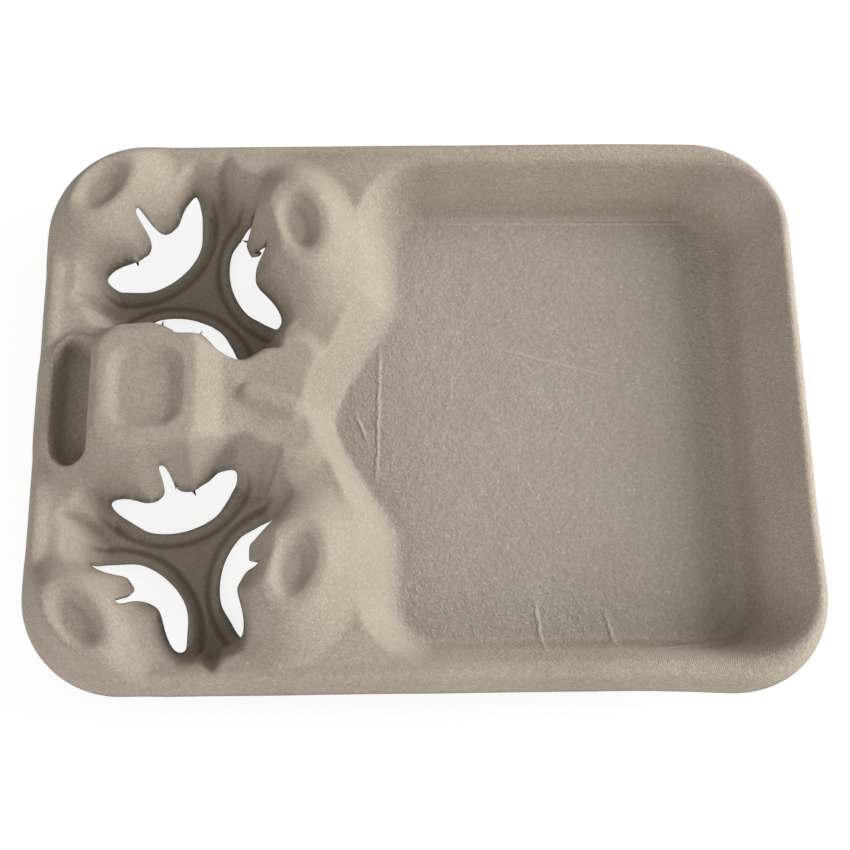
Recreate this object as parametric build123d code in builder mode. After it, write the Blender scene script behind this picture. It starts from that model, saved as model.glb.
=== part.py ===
from build123d import *

import os
from math import cos, radians, sin

# Two-cup carrier with a food tray, moulded from paper pulp as one thin sheet.
#
# The sheet is the space between two forms of the same shape. The upper form has the top
# face of the sheet, and the lower form is the same shape moved in by the wall.
# The origin is on the table under the middle of the carrier, with +X towards the tray,
# +Z up, and the cups side by side across Y. Sizes are in millimetres.

# Overall size and sheet
LENGTH = 291.0
WIDTH = 217.0
HEIGHT = 50.0
WALL = 2.2

# Rim, and the skirt that turns down from it all round
RIM_HEIGHT = 32.0
RIM_CORNER = 38.0
RIM_ROUND = 3.0
SKIRT_DEPTH = 10.0
SKIRT_DRAFT = 20.0
# Lower edge of the skirt along the carrier: share of the length from the middle, and rise
SKIRT_EDGE = (
    (-0.6, 0.0), (-0.5, 0.0), (-0.4, 0.2), (-0.27, 2.6), (-0.12, 1.2), (0.05, 1.6),
    (0.14, 0.4), (0.3, 1.4), (0.5, 0.0), (0.6, 0.0),
)

# Cup wells: lobes at the spokes of the floor star, flaps pushed in between them
CUP_SPACING = 110.0
CUP_FROM_END = 58.5
LOBE_FLOOR_RADIUS = 34.0
LOBE_MOUTH_RADIUS = 51.0
FLAP_FOOT_RADIUS = 17.0
FLAP_HEAD_RADIUS = 35.0
FIRST_FLAP_TURN = 15.0
# Outline of one third of a well: turn from the middle of the lobe, and share of the way
# from the flap's radius out to the lobe's radius. The middle of the lobe is a groove.
LOBE_SHAPE = (
    (-38, 0.08), (-28, 0.52), (-17, 0.98), (-8, 1.0), (0, 1.12),
    (8, 1.0), (17, 0.98), (28, 0.52), (38, 0.08), (60, 0.0),
)

# Floor star and the crescent windows beside it
STAR_ARC_RADIUS = 29.2
STAR_WAIST = 11.9
STAR_BEAD_WIDTH = 3.5
STAR_BEAD_RAISE = 1.0
WINDOW_REACH = 37.0
WINDOW_END_HEIGHT = 12.0
WINDOW_TOP_HEIGHT = 19.0
SLIT_WIDTH = 3.2
SLIT_TOP_HEIGHT = 38.5
SLIT_REACH = 21.0

# Pillars between the wells and the rim, as (distance from the cup, turn, height, radii at the top)
PILLAR_FOOT = 28.0
PILLAR_SPREAD = 4.0
PILLAR_ROUND = 4.0
CORNER_PILLAR = (44.0, 139.0, 45.0, 12.0, 18.0)
TRAY_PILLAR = (45.0, 14.0, 48.5, 13.0, 19.0)
DIMPLE_RADII = (4.5, 9.5)
DIMPLE_DEPTH = 3.0
DIMPLE_SPREAD = 2.5

# Spine between the cups, with the tower, the finger slot and the short ridge
SPINE_HEIGHT = 38.5
SPINE_FOOT = 26.0
SPINE_WIDTH = 56.0
SPINE_START_GAP = 6.5
SPINE_END = 44.0
SPINE_SPREAD = 2.0
SPINE_SIDE_SPREAD = 8.0
SPINE_ROUND = 8.0
TOWER_LENGTH = 42.0
TOWER_WIDTH = 50.0
TOWER_SHIFT = -12.0
TOWER_SPREAD = 5.0
TOWER_ROUND = 9.0
TOWER_DIMPLE = (20.0, 25.0)
SLOT_LENGTH = 48.0
SLOT_WIDTH = 9.5
SLOT_FROM_END = 15.8
SLOT_FLOOR = 24.5
SLOT_SPREAD = 2.0
RIDGE_LENGTH = 24.0
RIDGE_MIDDLE = 34.0
RIDGE_WIDTH = 7.0
RIDGE_RAISE = 2.5

# Food tray: half outline from the wedge between the cups round to the far corner
TRAY_END_GAP = 23.5
TRAY_SIDE_GAP = 20.5
TRAY_FLOOR_ROUND = 8.0
TRAY_WEDGE = 50.0
TRAY_SHOULDER = 76.0
SHOULDER_WIDTH = 44.0
TRAY_NEAR_CORNER = 15.0
TRAY_FAR_CORNER = 17.0
SHOULDER_ROUND = 20.0
WEDGE_ROUND = 8.0
WALL_LEAN_END = 25.0
WALL_LEAN_SIDE = 16.0
WALL_LEAN_NEAR = 21.0
WALL_LEAN_WEDGE = 11.0
CORNER_GROWTH = 14.0

# Worked out from the sizes above
CUP_X = CUP_FROM_END - LENGTH / 2
CUP_Y = CUP_SPACING / 2
THIRD_TURN = 360 / 3
FLAP_TURNS = [FIRST_FLAP_TURN + THIRD_TURN * third for third in range(3)]
STAR_ARC_CENTRE = STAR_WAIST + STAR_ARC_RADIUS
SKIRT_LOW = RIM_HEIGHT - SKIRT_DEPTH
CUT_TOP = HEIGHT + 1.0
UNDER = 4.0
WASTE_BOTTOM = -2 * UNDER


def well_points(lobe_radius, flap_radius, grow):
    """Points round a cup well, moved outwards by grow."""
    ring = []
    for flap_turn in FLAP_TURNS:
        for turn, share in LOBE_SHAPE:
            angle = radians(flap_turn + THIRD_TURN / 2 + turn)
            radius = flap_radius + share * (lobe_radius - flap_radius)
            ring.append(Vector(radius * cos(angle), radius * sin(angle)))
    moved = []
    for index, point in enumerate(ring):
        along = (ring[(index + 1) % len(ring)] - ring[index - 1]).normalized()
        moved.append(point + Vector(along.Y, -along.X) * grow)
    return moved


def cup_wells(skin):
    """Both wells as solids to cut away, from the floor up past the top."""
    floor = WALL - skin
    with BuildPart() as wells:
        for level, lobe, flap in (
            (floor, LOBE_FLOOR_RADIUS, FLAP_FOOT_RADIUS),
            (CUT_TOP, LOBE_MOUTH_RADIUS, FLAP_HEAD_RADIUS),
        ):
            with BuildSketch(Plane((CUP_X, CUP_Y, level))):
                with BuildLine():
                    Spline(*well_points(lobe, flap, skin), periodic=True)
                make_face()
        loft(ruled=True)
        if skin == 0:
            with BuildSketch(Plane((CUP_X, CUP_Y, floor))):
                with PolarLocations(STAR_ARC_CENTRE, 3, start_angle=FIRST_FLAP_TURN):
                    Circle(STAR_ARC_RADIUS + STAR_BEAD_WIDTH)
                with PolarLocations(STAR_ARC_CENTRE, 3, start_angle=FIRST_FLAP_TURN):
                    Circle(STAR_ARC_RADIUS, mode=Mode.SUBTRACT)
            extrude(amount=STAR_BEAD_RAISE, mode=Mode.SUBTRACT)
        mirror(about=Plane.XZ)
    return wells.part


def tray_hollow(skin):
    """The food tray as a solid to cut away, from the floor up past the top."""
    floor = WALL - skin
    with BuildPart() as hollow:
        for level, lean in ((floor, 0), (CUT_TOP, 1)):
            far = LENGTH / 2 - TRAY_END_GAP + lean * WALL_LEAN_END + skin
            side = WIDTH / 2 - TRAY_SIDE_GAP + lean * WALL_LEAN_SIDE + skin
            near = CUP_X + TRAY_SHOULDER - lean * WALL_LEAN_NEAR - skin
            wedge = CUP_X + TRAY_WEDGE - lean * WALL_LEAN_WEDGE - skin
            growth = lean * CORNER_GROWTH + skin
            with BuildSketch(Plane.XY.offset(level)) as outline:
                with BuildLine():
                    Polyline(
                        (wedge, 0), (near, -SHOULDER_WIDTH), (near, -side), (far, -side),
                        (far, side), (near, side), (near, SHOULDER_WIDTH), close=True,
                    )
                make_face()
                columns = outline.vertices().group_by(Axis.X)
                rows = columns[1].sort_by(Axis.Y)
                fillet(columns[-1], TRAY_FAR_CORNER + growth)
                fillet([rows[0], rows[-1]], TRAY_NEAR_CORNER + growth)
                fillet([rows[1], rows[-2]], SHOULDER_ROUND)
                fillet(columns[0], WEDGE_ROUND + skin)
        loft(ruled=True)
        fillet(hollow.faces().sort_by(Axis.Z)[0].edges(), TRAY_FLOOR_ROUND + skin)
    return hollow.part


def pillars(skin):
    """Corner and tray-side pillars beside both cups, with the dimples in their tops."""
    with BuildPart() as group:
        for reach, turn, height, depth, breadth in (CORNER_PILLAR, TRAY_PILLAR):
            x = CUP_X + reach * cos(radians(turn))
            y = CUP_Y + reach * sin(radians(turn))
            top = height - skin
            for level, spread in ((PILLAR_FOOT, PILLAR_SPREAD), (top, 0)):
                with BuildSketch(Plane((x, y, level))):
                    Ellipse(depth + spread - skin, breadth + spread - skin, rotation=turn)
            loft()
            fillet(group.faces().sort_by(Axis.Z)[-1].edges(), PILLAR_ROUND - skin)
            for level, spread in ((top - DIMPLE_DEPTH, 0), (top, DIMPLE_SPREAD)):
                with BuildSketch(Plane((x, y, level))):
                    Ellipse(
                        DIMPLE_RADII[0] + spread + skin, DIMPLE_RADII[1] + spread + skin,
                        rotation=turn,
                    )
            loft(mode=Mode.SUBTRACT)
        mirror(about=Plane.XZ)
    return group.part


def spine(skin):
    """The raised strip between the cups, with the ridge, the tower and its dimple."""
    start = SPINE_START_GAP - LENGTH / 2 + skin
    end = CUP_X + SPINE_END - skin
    middle = (start + end) / 2
    tower_x = CUP_X + TOWER_SHIFT
    with BuildPart() as strip:
        for level, spread, side_spread in (
            (SPINE_FOOT, SPINE_SPREAD, SPINE_SIDE_SPREAD),
            (SPINE_HEIGHT - skin, 0, 0),
        ):
            width = SPINE_WIDTH + side_spread - 2 * skin
            with BuildSketch(Plane((middle, 0, level))):
                RectangleRounded(end - start + spread, width, SPINE_ROUND - skin)
        loft()
        with BuildSketch(Plane((CUP_X + RIDGE_MIDDLE, 0, SPINE_FOOT))):
            SlotOverall(RIDGE_LENGTH - 2 * skin, RIDGE_WIDTH - 2 * skin)
        extrude(amount=SPINE_HEIGHT + RIDGE_RAISE - skin - SPINE_FOOT)
        for level, spread in ((SPINE_FOOT, 2 * TOWER_SPREAD), (HEIGHT - skin, 0)):
            with BuildSketch(Plane((tower_x, 0, level))):
                RectangleRounded(
                    TOWER_LENGTH + spread - 2 * skin, TOWER_WIDTH + spread - 2 * skin,
                    TOWER_ROUND - skin,
                )
        loft()
        fillet(strip.faces().sort_by(Axis.Z)[-1].edges(), PILLAR_ROUND - skin)
        floor = HEIGHT - DIMPLE_DEPTH - skin
        for level, spread in ((floor, 0), (HEIGHT - skin, 2 * DIMPLE_SPREAD)):
            grown = spread + 2 * skin
            with BuildSketch(Plane((tower_x, 0, level))):
                RectangleRounded(TOWER_DIMPLE[0] + grown, TOWER_DIMPLE[1] + grown, TOWER_ROUND)
        loft(mode=Mode.SUBTRACT)
    return strip.part


def finger_slot(skin):
    """The finger slot at the cup end of the spine, as a solid to cut away."""
    with BuildPart() as slot:
        for level, spread in ((SLOT_FLOOR - skin, 0), (CUT_TOP, 2 * SLOT_SPREAD)):
            grown = spread + 2 * skin
            with BuildSketch(Plane((SLOT_FROM_END - LENGTH / 2, 0, level))):
                SlotOverall(SLOT_LENGTH + grown, SLOT_WIDTH + grown, rotation=90)
        loft()
    return slot.part


def rim_block(skin):
    """The block inside the rim, with the skirt as its leaning side."""
    with BuildPart() as block:
        with BuildSketch(Plane.XY.offset(SKIRT_LOW)):
            RectangleRounded(LENGTH - 2 * skin, WIDTH - 2 * skin, RIM_CORNER - skin)
        extrude(amount=SKIRT_DEPTH - skin, taper=SKIRT_DRAFT)
        fillet(block.faces().sort_by(Axis.Z)[-1].edges(), RIM_ROUND - skin)
        with BuildSketch(Plane.XY.offset(SKIRT_LOW)):
            RectangleRounded(LENGTH - 2 * skin, WIDTH - 2 * skin, RIM_CORNER - skin)
        extrude(amount=-SKIRT_LOW - UNDER)
    return block.part


def waste_below_skirt():
    """Everything below the wavy lower edge of the skirt, wider than the carrier."""
    with BuildPart() as waste:
        with BuildSketch(Plane.XZ) as side_view:
            with BuildLine():
                edge = Spline(*[(share * LENGTH, SKIRT_LOW + rise) for share, rise in SKIRT_EDGE])
                Polyline(
                    edge @ 1, ((edge @ 1).X, WASTE_BOTTOM), ((edge @ 0).X, WASTE_BOTTOM), edge @ 0,
                )
            make_face()
        extrude(amount=WIDTH, both=True)
    return waste.part


def windows():
    """The crescent windows beside the floor star, and the slit in each flap."""
    with BuildPart() as cuts:
        for turn in FLAP_TURNS:
            outwards = Vector(cos(radians(turn)), sin(radians(turn)), 0)
            across = Vector(-outwards.Y, outwards.X, 0)
            start = Vector(CUP_X, CUP_Y, 0) + outwards * STAR_WAIST
            with BuildSketch(Plane(start, x_dir=across, z_dir=outwards)):
                with BuildLine():
                    Polyline(
                        (-WINDOW_REACH, WINDOW_END_HEIGHT), (-WINDOW_REACH, -UNDER),
                        (WINDOW_REACH, -UNDER), (WINDOW_REACH, WINDOW_END_HEIGHT),
                    )
                    ThreePointArc(
                        (WINDOW_REACH, WINDOW_END_HEIGHT), (0, WINDOW_TOP_HEIGHT),
                        (-WINDOW_REACH, WINDOW_END_HEIGHT),
                    )
                make_face()
            extrude(amount=WINDOW_REACH)
        with BuildSketch(Plane((CUP_X, CUP_Y, -UNDER))):
            with PolarLocations(STAR_ARC_CENTRE, 3, start_angle=FIRST_FLAP_TURN):
                Circle(STAR_ARC_RADIUS)
            Circle(WINDOW_REACH, mode=Mode.INTERSECT)
        extrude(amount=HEIGHT, mode=Mode.INTERSECT)
        for turn in FLAP_TURNS:
            outwards = Vector(cos(radians(turn)), sin(radians(turn)), 0)
            across = Vector(-outwards.Y, outwards.X, 0)
            start = Vector(CUP_X, CUP_Y, 0) + outwards * (STAR_WAIST + SLIT_WIDTH)
            with BuildSketch(Plane(start, x_dir=across, z_dir=outwards)):
                with Locations((0, SLIT_TOP_HEIGHT / 2)):
                    SlotOverall(SLIT_TOP_HEIGHT, SLIT_WIDTH, rotation=90)
            extrude(amount=SLIT_REACH)
        mirror(about=Plane.XZ)
    return cuts.part


def form(skin):
    """The solid under the top face of the sheet, or under its lower face where skin is WALL."""
    raised = [pillars(skin), spine(skin)]
    sunk = [cup_wells(skin), tray_hollow(skin), finger_slot(skin)]
    base = rim_block(skin)
    with BuildPart() as whole:
        add(base)
        for piece in raised:
            add(piece)
        for piece in sunk:
            add(piece, mode=Mode.SUBTRACT)
    return whole.part


upper = form(0)
lower = form(WALL)
waste = waste_below_skirt()
hollows = [cup_wells(WALL), tray_hollow(WALL), finger_slot(WALL)]
openings = windows()

with BuildPart() as below_skirt:
    add(waste)
    for hollow in hollows:
        add(hollow, mode=Mode.SUBTRACT)

with BuildPart() as cup_carrier:
    add(upper)
    add(lower, mode=Mode.SUBTRACT)
    add(below_skirt.part, mode=Mode.SUBTRACT)
    add(openings, mode=Mode.SUBTRACT)

cup_carrier.part.label = "cup_carrier"
os.makedirs("parts", exist_ok=True)
export_step(cup_carrier.part, "parts/cup_carrier.step")
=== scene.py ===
from math import atan2, cos, degrees, exp, hypot, radians, sin, sqrt

import bmesh
import bpy
from mathutils import Matrix, Vector, noise


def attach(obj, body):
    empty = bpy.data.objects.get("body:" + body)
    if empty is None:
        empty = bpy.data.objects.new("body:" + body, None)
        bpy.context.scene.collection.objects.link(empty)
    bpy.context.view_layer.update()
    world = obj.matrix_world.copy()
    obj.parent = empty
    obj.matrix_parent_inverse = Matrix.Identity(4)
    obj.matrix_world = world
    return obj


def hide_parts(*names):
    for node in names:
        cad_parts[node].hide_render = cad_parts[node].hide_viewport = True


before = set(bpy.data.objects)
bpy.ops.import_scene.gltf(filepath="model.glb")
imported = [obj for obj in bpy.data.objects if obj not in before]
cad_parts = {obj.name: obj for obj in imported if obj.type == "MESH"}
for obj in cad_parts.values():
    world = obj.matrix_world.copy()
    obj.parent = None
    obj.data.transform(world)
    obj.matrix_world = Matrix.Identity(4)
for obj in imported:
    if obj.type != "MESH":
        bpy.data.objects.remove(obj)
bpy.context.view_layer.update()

scene = bpy.context.scene
scene.view_settings.view_transform = "Standard"
MM = 0.001


# Camera, standing in front of the long side and looking down into the tray.
CAMERA_PLACE = Vector((-4.2, -169.6, 528.9)) * MM
CAMERA_LENS = 59.3
LOOK_DOWN = radians(72.25)
TURN_RIGHT = radians(2.2)
ROLL = radians(1.47)

forward = Vector((
    sin(TURN_RIGHT) * cos(LOOK_DOWN), cos(TURN_RIGHT) * cos(LOOK_DOWN), -sin(LOOK_DOWN),
))
level_side = Vector((cos(TURN_RIGHT), -sin(TURN_RIGHT), 0))
level_up = level_side.cross(forward)
side = level_side * cos(ROLL) + level_up * sin(ROLL)
upward = level_up * cos(ROLL) - level_side * sin(ROLL)
camera_data = bpy.data.cameras.new("camera")
camera_data.lens = CAMERA_LENS
camera_data.sensor_width = 36.0
camera = bpy.data.objects.new("camera", camera_data)
turned = Matrix((side, upward, -forward)).transposed().to_4x4()
camera.matrix_world = Matrix.Translation(CAMERA_PLACE) @ turned
scene.collection.objects.link(camera)
scene.camera = camera


# The carrier is one sheet of paper pulp, sucked onto a mesh mould and dried in shape.
# Its top face is worked out as the height of that mould over the table: a rim with a
# turned-down skirt, pillars and a spine that rise from it, and wells and a tray sunk in it.
LENGTH = 291.0
WIDTH = 217.0
SHEET = 2.2
RIM_TOP = 32.0
DECK_TOP = 30.4
RIM_CORNER = 38.0
SKIRT_FOOT = 22.2
RIM_RUN = 4.8
CUP_X = -87.0
CUP_Y = 55.0
FLAP_TURNS = (15.0, 135.0, 255.0)
THIRD_TURN = 120.0
FLAP_FOOT, LOBE_FOOT = 17.0, 34.0
FLAP_HEAD, LOBE_MOUTH = 35.0, 51.0
WELL_RISE = 48.8
STAR_ARC = 29.2
STAR_ARC_CENTRE = 41.1
WINDOW_REACH = 37.5
FLAP_EDGE = 18.6
SLIT_HALF_WIDTH = 1.6
SLIT_TOP = 37.5
SLIT_REACH = 33.0
NEAR_WELL = WINDOW_REACH + 4
# Pillars beside each cup: distance from the cup, turn, top, half depth and half breadth
CORNER_PILLAR = (44.6, 140.0, 44.4, 11.5, 18.5)
TRAY_PILLAR = (43.5, 14.5, 48.0, 13.0, 19.0)
PILLAR_DIMPLE = (7.4, 12.6)
PILLAR_DIMPLE_DEPTH = 3.8
# Rounded oblongs on the middle line: place along the carrier, half sizes and corner
STRIP = (-87.5, 51.5, 26.0, 14.0)
TOWER = (-99.5, 20.5, 24.0, 10.0)
TOWER_DIMPLE = (-100.0, 12.5, 14.5, 8.0)
STRIP_TOP = 38.6
SADDLE_DROP = 2.2
TOWER_TOP = 49.6
RIDGE_PLACE = (-55.0, -2.0)
RIDGE_RUN = (0.93, -0.37)
RIDGE_HALF_LENGTH = 8.5
RIDGE_RADIUS = 3.6
SLOT_PLACE = -129.6
SLOT_HALF_LENGTH = 19.0
SLOT_RADIUS = 4.2
SLOT_FLOOR = 25.0
# Food tray: floor edges, corners, and how far each side leans outwards for each mm up
WEDGE_TIP = -37.0
WEDGE_RUN = 26.0
TRAY_MIDDLE = 55.0
TRAY_FAR = 122.0
TRAY_SIDE = 88.0
TRAY_NEAR_CORNER = 15.0
TRAY_FAR_CORNER = 17.0
LEAN_WEDGE = 0.24
LEAN_NEAR_GAIN = 0.19
LEAN_FAR = 0.58
LEAN_SIDE = 0.37


def smooth_max(a, b, blend):
    overlap = max(0.0, 1.0 - abs(a - b) / blend)
    return max(a, b) + blend * overlap * overlap / 4


def smooth_min(a, b, blend):
    return -smooth_max(-a, -b, blend)


def ramp(value, start, end):
    share = min(1.0, max(0.0, (value - start) / (end - start)))
    return share * share * (3 - 2 * share)


def rounded_distance(x, y, half_x, half_y, corner):
    """Distance outside a rounded rectangle, negative inside it."""
    out_x = abs(x) - half_x + corner
    out_y = abs(y) - half_y + corner
    outside = hypot(max(out_x, 0.0), max(out_y, 0.0))
    return outside + min(max(out_x, out_y), 0.0) - corner


def rumple(x, y, size, seed):
    """Slow unevenness of the pulp, about -1 to 1."""
    return noise.noise(Vector((x / size, y / size, seed)))


def rim_height(x, y):
    """Skirt, rolled rim and the deck inside it."""
    inwards = max(0.0, -rounded_distance(x, y, LENGTH / 2, WIDTH / 2, RIM_CORNER))
    foot = SKIRT_FOOT + 1.3 * rumple(x, y, 45.0, 8.0) + 0.5 * rumple(x, y, 14.0, 5.0)
    share = min(1.0, inwards / RIM_RUN)
    rolled = foot + (RIM_TOP - foot) * (1 - (1 - share) ** 1.9) ** (1 / 1.35)
    return rolled - (RIM_TOP - DECK_TOP) * ramp(inwards, 5.5, 10.0)


def hill(distance, top, slope, soft):
    """A mound: level inside its outline, falling away outside it with a soft shoulder."""
    away = max(0.0, distance + soft)
    return top - slope * (sqrt(away * away + soft * soft) - soft)


def pillar_height(x, y, reach, turn, top, depth, breadth):
    """One oval pillar beside a cup, with the oval dimple in its top."""
    angle = radians(turn)
    dx = x - CUP_X - reach * cos(angle)
    dy = y - CUP_Y - reach * sin(angle)
    outwards = dx * cos(angle) + dy * sin(angle)
    along = dy * cos(angle) - dx * sin(angle)
    oval = hypot(outwards / depth, along / breadth)
    mound = hill((oval - 1) * depth, top, 1.9, 2.2)
    dimple = hypot(outwards / PILLAR_DIMPLE[0], along / PILLAR_DIMPLE[1])
    return mound - PILLAR_DIMPLE_DEPTH * (1 - ramp(dimple, 0.5, 1.1))


def oblong_distance(x, y, oblong):
    return rounded_distance(x - oblong[0], y, *oblong[1:])


def spine_height(x, y):
    """The strip between the cups: tower with its dimple, saddle and ridge."""
    top = STRIP_TOP - SADDLE_DROP * ramp(x, -78.0, -60.0)
    height = hill(oblong_distance(x, y, STRIP), top, 2.0, 3.5)
    tower = hill(oblong_distance(x, y, TOWER), TOWER_TOP, 2.2, 3.0)
    height = smooth_max(height, tower, 5.0)
    height -= 3.4 * (1 - ramp(oblong_distance(x, y, TOWER_DIMPLE), -3.0, 2.2))
    dx = x - RIDGE_PLACE[0]
    dy = y - RIDGE_PLACE[1]
    lengthwise = dx * RIDGE_RUN[0] + dy * RIDGE_RUN[1]
    sideways = dy * RIDGE_RUN[0] - dx * RIDGE_RUN[1]
    ridge = hypot(max(0.0, abs(lengthwise) - RIDGE_HALF_LENGTH), sideways) - RIDGE_RADIUS
    return height + 2.8 * (1 - ramp(ridge, -2.2, 2.0))


def lobe_share(turn):
    """How far a well's side is out at its lobe radius, from the turn about the cup's centre."""
    off_lobe = abs((turn - FLAP_TURNS[0]) % THIRD_TURN - THIRD_TURN / 2)
    groove = 0.20 * exp(-((off_lobe / 4.0) ** 2))
    return 1 - ramp(off_lobe, 15.0, 41.0) + groove


def well_height(x, y):
    """Inside of one cup well: star-shaped floor and the lobed, leaning side."""
    dx = x - CUP_X
    dy = y - CUP_Y
    reach = hypot(dx, dy)
    share = lobe_share(degrees(atan2(dy, dx)))
    floor_reach = FLAP_FOOT + (LOBE_FOOT - FLAP_FOOT) * share
    mouth_reach = FLAP_HEAD + (LOBE_MOUTH - FLAP_HEAD) * share
    side = SHEET + (reach - floor_reach) / (mouth_reach - floor_reach) * WELL_RISE
    floor = SHEET + 1.0
    for flap_turn in FLAP_TURNS:
        arc_x = STAR_ARC_CENTRE * cos(radians(flap_turn))
        arc_y = STAR_ARC_CENTRE * sin(radians(flap_turn))
        from_arc = hypot(dx - arc_x, dy - arc_y) - STAR_ARC
        floor += 1.3 * exp(-(((from_arc - 1.3) / 1.4) ** 2))
        floor -= 0.95 * exp(-(((from_arc - 4.4) / 1.3) ** 2))
    return smooth_max(max(floor, SHEET + 0.05), side, 4.0)


def tray_height(x, y):
    """Inside of the food tray: level floor, leaning sides, rounded corners and the wedge."""
    wide = abs(y)
    bend = ramp(sqrt(wide * wide + 25.0), 4.0, 52.0)
    straight = min(1.0, sqrt(wide * wide + 36.0) / 46.0)
    near = WEDGE_TIP + WEDGE_RUN * (0.75 * straight + 0.25 * bend)
    corner = TRAY_NEAR_CORNER
    out_x = near + corner - x
    lean_x = LEAN_WEDGE + LEAN_NEAR_GAIN * bend
    if x > TRAY_MIDDLE:
        corner = TRAY_FAR_CORNER
        out_x = x - TRAY_FAR + corner
        lean_x = LEAN_FAR
    out_y = wide - TRAY_SIDE + corner
    if out_x > 0 and out_y > 0:
        outside = hypot(out_x, out_y) - corner
        parts = lean_x * out_x * out_x + LEAN_SIDE * out_y * out_y
        side = outside / (parts / (out_x * out_x + out_y * out_y))
    else:
        side = max((out_x - corner) / lean_x, (out_y - corner) / LEAN_SIDE)
    uneven = 0.35 * rumple(x, y, 30.0, 21.0) + 0.15 * rumple(x, y, 9.0, 2.0)
    return smooth_max(SHEET + uneven + 0.55, SHEET + side, 8.0)


def slot_height(x, y):
    """The finger slot at the cup end."""
    away = hypot(x - SLOT_PLACE, max(0.0, abs(y) - SLOT_HALF_LENGTH)) - SLOT_RADIUS
    return smooth_max(SLOT_FLOOR, SLOT_FLOOR + 4.5 * away, 4.0)


def sheet_height(x, y):
    """Top face of the sheet over the table, for any place in plan."""
    cup_side = abs(y)
    height = rim_height(x, y)
    height = smooth_max(height, spine_height(x, y), 5.0)
    inwards = -rounded_distance(x, y, LENGTH / 2, WIDTH / 2, RIM_CORNER)
    corner_mound = pillar_height(x, cup_side, *CORNER_PILLAR)
    corner_mound = smooth_min(corner_mound, 24.0 + 2.0 * inwards, 4.0)
    height = smooth_max(height, corner_mound, 4.0)
    height = smooth_max(height, pillar_height(x, cup_side, *TRAY_PILLAR), 5.0)
    height = smooth_min(height, tray_height(x, y), 3.0)
    height = smooth_min(height, well_height(x, cup_side), 5.0)
    return smooth_min(height, slot_height(x, y), 3.0)


def window_distance(x, y, height):
    """Distance outside the crescent windows and flap slits, negative inside them."""
    dx = x - CUP_X
    dy = abs(y) - CUP_Y
    reach = hypot(dx, dy)
    if reach > NEAR_WELL:
        return reach - WINDOW_REACH
    nearest = 99.0
    for flap_turn in FLAP_TURNS:
        angle = radians(flap_turn)
        outwards = dx * cos(angle) + dy * sin(angle)
        along = dy * cos(angle) - dx * sin(angle)
        if outwards < 5:
            continue
        inside_arc = hypot(outwards - STAR_ARC_CENTRE, along) - STAR_ARC
        lower_edge = FLAP_EDGE - 4.2 * (along / 24.0) ** 2 + 1.2 * rumple(x, y, 9.0, 1.0)
        under_flap = (height - lower_edge) / 2.6
        end = abs(along) * 0.73 - outwards * 0.68 + 0.2
        crescent = max(inside_arc, under_flap, end, reach - WINDOW_REACH)
        torn = 0.35 * rumple(x, y, 4.0, 9.0)
        beside_slit = abs(along + torn) - SLIT_HALF_WIDTH
        above_slit = (height - SLIT_TOP) / 2.6
        slit = max(beside_slit, above_slit, 14.0 - outwards, outwards - SLIT_REACH)
        nearest = min(nearest, crescent, slit)
    return nearest


# Cell size along each stretch of the grid, finer at the wells and under the rolled rim.
WELL_CELL = 1.08
COLUMN_STRETCHES = ((9.0, 0.9), (121.0, WELL_CELL), (151.0, 2.1), (10.0, 1.0))
ROW_STRETCHES = ((9.0, 0.9), (199.0, WELL_CELL), (9.0, 0.9))


def grid_places(stretches):
    """Places of the grid lines along one side, from the cell size in each stretch."""
    places = [0.0]
    for length, cell in stretches:
        start = places[-1]
        count = round(length / cell)
        places += [start + length * (index + 1) / count for index in range(count)]
    middle = places[-1] / 2
    return [place - middle for place in places]


column_places = grid_places(COLUMN_STRETCHES)
row_places = grid_places(ROW_STRETCHES)
columns = len(column_places) - 1
rows = len(row_places) - 1
corner_x = LENGTH / 2 - RIM_CORNER
corner_y = WIDTH / 2 - RIM_CORNER

mould = bmesh.new()
bmesh.ops.create_grid(mould, x_segments=columns, y_segments=rows, size=0.5)
for vertex in mould.verts:
    x = column_places[round((vertex.co.x + 0.5) * columns)]
    y = row_places[round((vertex.co.y + 0.5) * rows)]
    out_x = max(0.0, abs(x) - corner_x) / RIM_CORNER
    out_y = max(0.0, abs(y) - corner_y) / RIM_CORNER
    if out_x > 0 and out_y > 0:
        x = (corner_x + RIM_CORNER * out_x * sqrt(1 - out_y * out_y / 2)) * (1 if x > 0 else -1)
        y = (corner_y + RIM_CORNER * out_y * sqrt(1 - out_x * out_x / 2)) * (1 if y > 0 else -1)
    vertex.co = (x, y, 0.0)


def cut_value(x, y):
    """Above zero where there is pulp, below zero inside a window or a slit."""
    return window_distance(x, y, sheet_height(x, y))


def cut_slope(x, y, value):
    """How fast the cut value grows along each axis."""
    step = 0.04
    return (cut_value(x + step, y) - value) / step, (cut_value(x, y + step) - value) / step


def from_cup(place):
    return hypot(place.x - CUP_X, abs(place.y) - CUP_Y)


def drop_stray_vertices():
    stray = [vertex for vertex in mould.verts if not vertex.link_faces]
    bmesh.ops.delete(mould, geom=stray, context="VERTS")


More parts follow.
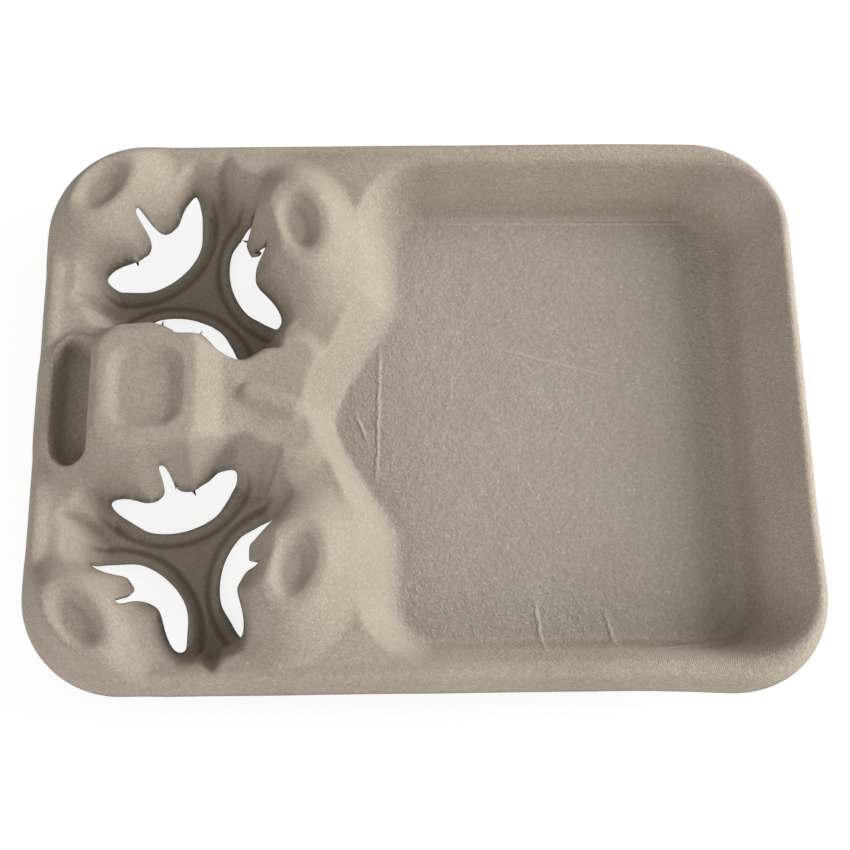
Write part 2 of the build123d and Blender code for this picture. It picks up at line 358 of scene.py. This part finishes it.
# Cutting the windows and slits: what is inside goes, and what is within a cell is moved
# onto the edge of the cut.
waste = []
for vertex in mould.verts:
    x, y = vertex.co.x, vertex.co.y
    if from_cup(vertex.co) > NEAR_WELL:
        continue
    value = cut_value(x, y)
    if abs(value) > 6:
        if value < 0:
            waste.append(vertex)
        continue
    slope = Vector(cut_slope(x, y, value))
    if abs(value) < 0.66 * WELL_CELL * max(0.4, slope.length):
        for again in range(4):
            slope = Vector(cut_slope(x, y, value))
            stride = value / max(0.16, slope.length_squared)
            x -= slope.x * stride
            y -= slope.y * stride
            value = cut_value(x, y)
        if hypot(x - vertex.co.x, y - vertex.co.y) < 1.3:
            vertex.co = (x, y, 0.0)
    elif value < 0:
        waste.append(vertex)
bmesh.ops.delete(mould, geom=waste, context="VERTS")
loose = [face for face in mould.faces if cut_value(*face.calc_center_median().xy) < -0.05]
bmesh.ops.delete(mould, geom=loose, context="FACES")
drop_stray_vertices()
bmesh.ops.remove_doubles(mould, verts=mould.verts, dist=0.22)


def open_edges(item):
    return sum(edge.is_boundary for edge in item)


def is_sliver(face):
    """Whether a face hangs on by one side, or touches the rest only at a corner."""
    count = open_edges(face.edges)
    pinched = any(open_edges(vertex.link_edges) > 2 for vertex in face.verts)
    return count > 2 or (count == 2 and pinched)


for again in range(3):
    slivers = [face for face in mould.faces if is_sliver(face)]
    bmesh.ops.delete(mould, geom=slivers, context="FACES")
drop_stray_vertices()

# Easing the cut edges into smooth lines.
cut_edge = {}
for vertex in mould.verts:
    beside = [edge.other_vert(vertex) for edge in vertex.link_edges if edge.is_boundary]
    if len(beside) == 2 and from_cup(vertex.co) < NEAR_WELL:
        cut_edge[vertex] = beside
for again in range(7):
    eased = {
        vertex: vertex.co * 0.5 + (before.co + after.co) * 0.25
        for vertex, (before, after) in cut_edge.items()
    }
    for vertex, place in eased.items():
        vertex.co = place

# Raising the sheet to its heights. The far end and its front corner stand a little out.
for vertex in mould.verts:
    x, y = vertex.co.x, vertex.co.y
    far = ramp(x, 70.0, 146.0)
    front = ramp(-y, 40.0, 108.0)
    back = ramp(y, 60.0, 108.0)
    out_x = 2.4 * far + 1.6 * far * front
    out_y = 1.2 * back * (1 - far) - 2.6 * far * front
    vertex.co = (x + out_x, y + out_y, sheet_height(x, y))
bmesh.ops.scale(mould, verts=mould.verts, vec=(MM, MM, MM))
bmesh.ops.recalc_face_normals(mould, faces=mould.faces)
if sum(face.normal.z for face in mould.faces) < 0:
    bmesh.ops.reverse_faces(mould, faces=mould.faces)
for face in mould.faces:
    face.smooth = True
mesh = bpy.data.meshes.new("moulded_sheet")
mould.to_mesh(mesh)
mould.free()
carrier = bpy.data.objects.new("moulded_sheet", mesh)
scene.collection.objects.link(carrier)
wall = carrier.modifiers.new("sheet_thickness", "SOLIDIFY")
wall.thickness = SHEET * MM
wall.offset = -1.0


# The pulp: grey-brown recycled fibre with a soft, felted face. The mould's mesh leaves
# fine diagonal dots on the raised parts, and dark specks and pale fibres show all over.
class Field:
    """A shader socket that takes part in sums and products."""

    def __init__(self, tree, socket):
        self.tree = tree
        self.socket = socket

    def math(self, operation, *others):
        made = self.tree.nodes.new("ShaderNodeMath")
        made.operation = operation
        for slot, value in zip(made.inputs, (self,) + others):
            if isinstance(value, Field):
                self.tree.links.new(value.socket, slot)
            else:
                slot.default_value = value
        return Field(self.tree, made.outputs[0])

    def node(self, kind, settings=None, output=0, **values):
        """Any other node, with its settings, and its inputs by name or as i and a number."""
        made = self.tree.nodes.new(kind)
        for name, value in (settings or {}).items():
            setattr(made, name, value)
        for name, value in values.items():
            numbered = name[0] == "i" and name[1:].isdigit()
            slot = made.inputs[int(name[1:]) if numbered else name]
            if isinstance(value, Field):
                self.tree.links.new(value.socket, slot)
            else:
                slot.default_value = value
        return Field(self.tree, made.outputs[output])

    def __add__(self, other):
        return self.math("ADD", other)

    __radd__ = __add__

    def __mul__(self, other):
        return self.math("MULTIPLY", other)

    __rmul__ = __mul__

    def __sub__(self, other):
        return self.math("SUBTRACT", other)

    def __rsub__(self, other):
        return (self * -1.0) + other

    def clamp(self, low, high):
        return self.node("ShaderNodeMapRange", Value=self, i1=low, i2=high)


pulp = bpy.data.materials.new("pulp")
pulp.use_nodes = True
tree = pulp.node_tree
shader = tree.nodes["Principled BSDF"]
places = Field(tree, tree.nodes.new("ShaderNodeTexCoord").outputs["Object"])


def mottle(scale, detail, roughness=0.55):
    return places.node(
        "ShaderNodeTexNoise", Vector=places, Scale=scale, Detail=detail, Roughness=roughness,
    )


def blend_colour(share, first, second):
    colours = {"data_type": "RGBA"}
    return places.node("ShaderNodeMix", colours, output=2, i0=share, i6=first, i7=second)


apart = tree.nodes.new("ShaderNodeSeparateXYZ")
tree.links.new(places.socket, apart.inputs[0])
along = Field(tree, apart.outputs[0])
across = Field(tree, apart.outputs[1])
up = Field(tree, apart.outputs[2])

clouds = mottle(28.0, 5.0).clamp(0.3, 0.7)
grain = mottle(900.0, 3.0, 0.7).clamp(0.3, 0.7)
felt = mottle(330.0, 5.0, 0.62)
pebble = mottle(150.0, 3.0, 0.5)
specks = places.node("ShaderNodeTexVoronoi", Vector=places, Scale=210.0)
speck = 1.0 - specks.clamp(0.03, 0.10)
fewer = mottle(160.0, 2.0).clamp(0.60, 0.66)
MESH_PITCH = 7600.0
warp = mottle(40.0, 2.0) * 0.004
one_way = (along * 0.94 + across * 0.34 + warp) * MESH_PITCH
other_way = (across * 0.94 - along * 0.34 + warp) * MESH_PITCH
dots = one_way.math("SINE") * other_way.math("SINE")
raised = up.clamp(0.020, 0.034) * 0.75 + 0.25

pale = (0.378, 0.334, 0.282, 1)
mid = (0.325, 0.278, 0.228, 1)
brown = (0.225, 0.178, 0.128, 1)
# The darkest colour serves for the real dark specks and for painted shade in the star plate's
# grooves.
dark_speck_and_shade = (0.05, 0.035, 0.025, 1)
cream = (0.56, 0.51, 0.44, 1)
grey = (0.305, 0.284, 0.256, 1)
face = blend_colour(clouds, mid, pale)
# The low parts of the cup wells get painted shade: they are blended towards brown and show fewer
# pale fibres.
well_shade_share = (1.0 - up.clamp(0.003, 0.020)) * (1.0 - along.clamp(-0.046, -0.036))
floor_share = (1.0 - up.clamp(0.0035, 0.010)) * along.clamp(-0.045, -0.025)
face = blend_colour(floor_share * 0.75, face, grey)
# Painted shade: a brown band on the tray's floor along the foot of its walls, where the walls
# shade the floor.
foot = up.clamp(0.0026, 0.0042) * (1.0 - up.clamp(0.006, 0.013)) * along.clamp(-0.030, 0.060)
face = blend_colour(foot * 0.60, face, brown)
# Painted shade deep in the cup wells.
face = blend_colour(well_shade_share * 0.34, face, brown)
low_down = (1.0 - up.clamp(0.006, 0.016)) * (1.0 - along.clamp(-0.046, -0.036))
cup_side = across.math("ABSOLUTE")
for flap_turn in FLAP_TURNS:
    angle = radians(flap_turn)
    off_x = along - (CUP_X + STAR_ARC_CENTRE * cos(angle)) * MM
    off_y = cup_side - (CUP_Y + STAR_ARC_CENTRE * sin(angle)) * MM
    from_arc = (off_x * off_x + off_y * off_y).math("SQRT") - STAR_ARC * MM
    groove = 1.0 - (from_arc - 0.0045).math("ABSOLUTE").clamp(0.0004, 0.0017)
    bead_light = 1.0 - (from_arc - 0.0016).math("ABSOLUTE").clamp(0.0006, 0.0020)
    # Painted shade darkens the groove line beside each window, and painted light brightens the
    # raised bead next to the window's edge.
    face = blend_colour(groove * low_down * 0.60, face, dark_speck_and_shade)
    face = blend_colour(bead_light * low_down * 0.45, face, mid)
face = blend_colour(grain * 0.62, face, brown)
fibres = mottle(620.0, 6.0, 0.8).clamp(0.54, 0.72)
# Pale fibres are held back where the wells carry painted shade.
face = blend_colour(fibres * 0.55 * (1.0 - well_shade_share * 0.8), face, cream)
face = blend_colour(dots.clamp(0.0, 1.0) * raised * 0.30, face, brown)
face = blend_colour(speck * fewer * 0.6, face, dark_speck_and_shade)


def crease(start, end, width):
    """A thin raised line on the sheet between two places in plan."""
    run = Vector(end) - Vector(start)
    step = run.normalized()
    dx = along - start[0]
    dy = across - start[1]
    far_along = dx * step.x + dy * step.y
    off = dx * -step.y + dy * step.x
    off = (off + (felt - 0.5) * (width * 2.0)).math("ABSOLUTE")
    begins = far_along.clamp(-0.002, 0.006)
    ends = 1.0 - far_along.clamp(run.length - 0.006, run.length + 0.002)
    return (1.0 - off.clamp(0.0, width)) * (begins * ends)


# Creases on the tray's floor: both ends in plan, and the width
CREASES = (
    ((0.030, 0.031), (0.076, 0.018), 0.0011),
    ((-0.0155, 0.030), (-0.0170, -0.024), 0.0012),
    ((-0.0250, 0.004), (-0.0205, -0.009), 0.0013),
    ((0.0425, -0.070), (0.0455, -0.092), 0.0012),
    ((0.0690, -0.076), (0.0730, -0.091), 0.0013),
    ((0.0860, -0.0915), (0.1180, -0.0880), 0.0012),
    ((0.0100, 0.0860), (0.1120, 0.0850), 0.0010),
)
folds = crease(*CREASES[0])
for line in CREASES[1:]:
    folds = folds + crease(*line)
face = blend_colour(folds.clamp(0.0, 1.0) * 0.22, face, cream)

relief = folds * 0.9 + felt + pebble * 0.70 + dots * raised * 0.22 + grain * 0.40
tree.links.new(face.socket, shader.inputs["Base Color"])
shader.inputs["Roughness"].default_value = 0.92
shader.inputs["Specular IOR Level"].default_value = 0.2
bump = tree.nodes.new("ShaderNodeBump")
bump.inputs["Strength"].default_value = 0.55
bump.inputs["Distance"].default_value = 0.0012
tree.links.new(relief.socket, bump.inputs["Height"])
tree.links.new(bump.outputs[0], shader.inputs["Normal"])
mesh.materials.append(pulp)

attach(carrier, "root")
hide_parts("cup_carrier")


# Table: a white sweep that shows white to the camera and keeps the carrier's soft shadow.
table_mesh = bpy.data.meshes.new("table")
table_form = bmesh.new()
bmesh.ops.create_grid(table_form, x_segments=1, y_segments=1, size=3.0)
table_form.to_mesh(table_mesh)
table_form.free()
table = bpy.data.objects.new("table", table_mesh)
scene.collection.objects.link(table)
white = bpy.data.materials.new("table_white")
white.use_nodes = True
nodes = white.node_tree.nodes
links = white.node_tree.links
nodes.clear()
paint = nodes.new("ShaderNodeBsdfDiffuse")
paint.inputs["Color"].default_value = (0.8, 0.8, 0.8, 1)
glow = nodes.new("ShaderNodeEmission")
glow.inputs["Strength"].default_value = 1.08
rays = nodes.new("ShaderNodeLightPath")
seen = nodes.new("ShaderNodeMath")
seen.operation = "ADD"
links.new(rays.outputs["Is Camera Ray"], seen.inputs[0])
links.new(rays.outputs["Is Glossy Ray"], seen.inputs[1])
seen_through = nodes.new("ShaderNodeMath")
seen_through.operation = "ADD"
links.new(seen.outputs[0], seen_through.inputs[0])
links.new(rays.outputs["Is Transmission Ray"], seen_through.inputs[1])
share = nodes.new("ShaderNodeMath")
share.operation = "MULTIPLY"
share.inputs[1].default_value = 0.78
mixer = nodes.new("ShaderNodeMixShader")
result = nodes.new("ShaderNodeOutputMaterial")
links.new(seen_through.outputs[0], share.inputs[0])
links.new(share.outputs[0], mixer.inputs["Fac"])
links.new(paint.outputs[0], mixer.inputs[1])
links.new(glow.outputs[0], mixer.inputs[2])
links.new(mixer.outputs[0], result.inputs["Surface"])
table_mesh.materials.append(white)


# Light: a pale room all round and one broad soft lamp high on the tray's side.
world = bpy.data.worlds.new("room")
scene.world = world
world.use_nodes = True
world.node_tree.nodes["Background"].inputs["Color"].default_value = (1.0, 0.99, 0.97, 1)
world.node_tree.nodes["Background"].inputs["Strength"].default_value = 0.57


def soft_lamp(name, place, size, power):
    lamp_data = bpy.data.lights.new(name, "AREA")
    lamp_data.size = size
    lamp_data.energy = power
    lamp = bpy.data.objects.new(name, lamp_data)
    aim = Vector(place)
    lamp.matrix_world = Matrix.Translation(aim) @ aim.to_track_quat("Z", "Y").to_matrix().to_4x4()
    scene.collection.objects.link(lamp)


soft_lamp("key", (1.35, 0.30, 0.62), 0.8, 40.0)
soft_lamp("fill", (-0.7, -1.2, 0.8), 1.0, 14.5)
